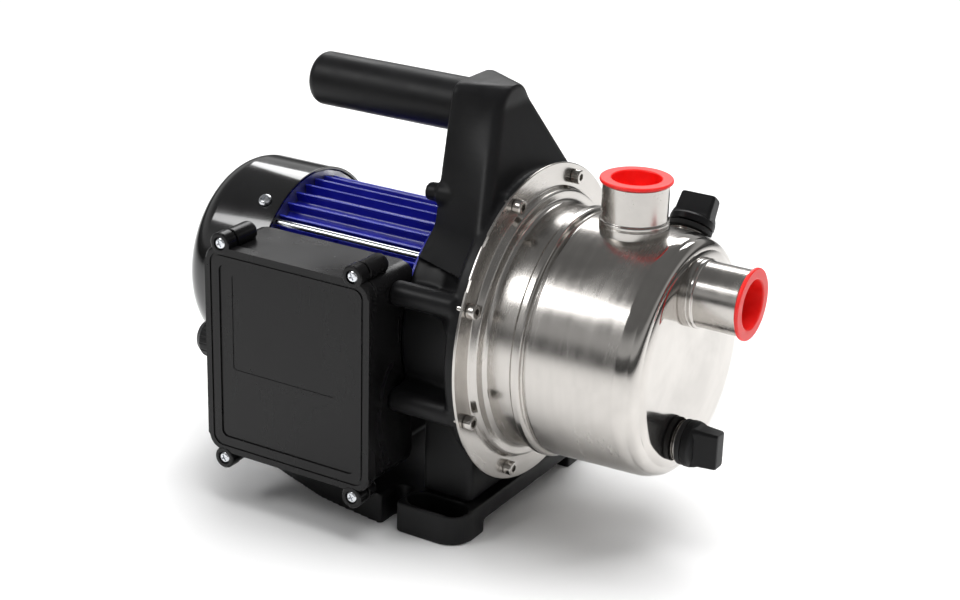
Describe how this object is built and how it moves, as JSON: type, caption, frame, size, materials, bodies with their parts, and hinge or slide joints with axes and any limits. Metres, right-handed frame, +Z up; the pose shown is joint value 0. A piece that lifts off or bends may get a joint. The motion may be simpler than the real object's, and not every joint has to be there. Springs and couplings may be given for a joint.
{
  "type": "shallow well jet pump",
  "caption": "Shallow well jet pump: finned fan-cooled motor, black bracket with carrying handle, stainless jet casing with capped threaded ports on top and front.",
  "frame": {"origin": "middle of the footprint on the ground", "axes": "+X along the motor shaft towards the suction port, +Z up, terminal box towards -Y"},
  "size_m": [0.344, 0.198, 0.2535],
  "materials": {
    "stainless": "satin on the cylinder, polished on the front and shoulder",
    "shaft_steel": "ground steel",
    "zinc_steel": "bright zinc plating",
    "red_plastic": "soft glossy polyethylene",
    "black_plastic": "satin moulded",
    "gloss_black_paint": "high gloss",
    "box_plastic": "semi-gloss moulded",
    "blue_paint": "gloss enamel",
    "cast_aluminium": "as cast",
    "black_rubber": "matt",
    "wet_end_plastic": "glass-filled, satin",
    "lamination_steel": "varnished stack",
    "copper_winding": "varnished copper wire",
    "ceramic": "lapped",
    "cream_plastic": "satin"
  },
  "bodies": {
    "pump": {"base": "black_plastic", "bracket": "black_plastic", "cable_gland": "black_plastic", "casing_o_ring": "black_rubber", "diffuser": "wet_end_plastic", "discharge_port": "stainless", "drain_boss": "stainless", "fan_cover": "gloss_black_paint", "fan_cover_screw_1": "zinc_steel", "fan_cover_screw_2": "zinc_steel", "fan_cover_screw_3": "zinc_steel", "flange_screw_1": "stainless", "flange_screw_2": "stainless", "flange_screw_3": "stainless", "flange_screw_4": "stainless", "flange_screw_5": "stainless", "flange_screw_6": "stainless", "flange_screw_7": "stainless", "flange_screw_8": "stainless", "front_bearing": "shaft_steel", "front_end_shield": "blue_paint", "gland_nut": "black_plastic", "handle_grip": "black_plastic", "jet_nozzle": "wet_end_plastic", "lid_gasket": "black_rubber", "lid_screw_1": "zinc_steel", "lid_screw_2": "zinc_steel", "lid_screw_3": "zinc_steel", "lid_screw_4": "zinc_steel", "motor_housing": "blue_paint", "priming_boss": "stainless", "pump_casing": "stainless", "rear_bearing": "shaft_steel", "rear_end_shield": "cast_aluminium", "run_capacitor": "cream_plastic", "seal_plate": "stainless", "seal_seat": "ceramic", "stator_core": "lamination_steel", "suction_port": "stainless", "terminal_block": "cream_plastic", "terminal_box": "box_plastic", "terminal_box_lid": "box_plastic", "tie_rod_1": "zinc_steel", "tie_rod_2": "zinc_steel", "tie_rod_3": "zinc_steel", "tie_rod_4": "zinc_steel", "winding_front": "copper_winding", "winding_rear": "copper_winding"},
    "rotor": {"rotor_shaft": "shaft_steel", "rotor_core": "lamination_steel", "cooling_fan": "wet_end_plastic", "impeller": "wet_end_plastic", "impeller_nut": "shaft_steel", "seal_rotary": "black_rubber"},
    "discharge_cap": {"discharge_cap": "red_plastic"},
    "suction_cap": {"suction_cap": "red_plastic"},
    "priming_washer": {"priming_plug_washer": "black_rubber"},
    "priming_plug": {"priming_plug": "black_plastic"},
    "drain_washer": {"drain_plug_washer": "black_rubber"},
    "drain_plug": {"drain_plug": "black_plastic"}
  },
  "joints": [
    {"name": "rotor_spin", "type": "hinge", "parent": "pump", "child": "rotor", "pos_m": [0.042, 0.006, 0.115], "axis": [1, 0, 0], "continuous": true},
    {"name": "discharge_cap_pull", "type": "slide", "parent": "pump", "child": "discharge_cap", "axis": [0, 0, 1], "range_m": [0, 0.013]},
    {"name": "suction_cap_pull", "type": "slide", "parent": "pump", "child": "suction_cap", "axis": [1, 0, 0], "range_m": [0, 0.013]},
    {"name": "priming_plug_rise", "type": "slide", "parent": "pump", "child": "priming_washer", "axis": [0, 0.6018, 0.7986], "range_m": [0, 0.009]},
    {"name": "priming_plug_turn", "type": "hinge", "parent": "priming_washer", "child": "priming_plug", "pos_m": [0.112, 0.04795, 0.17067], "axis": [0, 0.6018, 0.7986], "range_deg": [0, 2165]},
    {"name": "drain_plug_rise", "type": "slide", "parent": "pump", "child": "drain_washer", "axis": [1, 0, 0], "range_m": [0, 0.009]},
    {"name": "drain_plug_turn", "type": "hinge", "parent": "drain_washer", "child": "drain_plug", "pos_m": [0.139, -0.002, 0.069], "axis": [1, 0, 0], "range_deg": [0, 2165]}
  ],
  "couplings": [
    {"joint": "priming_plug_turn", "follows": "priming_plug_rise", "rad_per_m": 4188.8},
    {"joint": "drain_plug_turn", "follows": "drain_plug_rise", "rad_per_m": 4188.8}
  ]
}
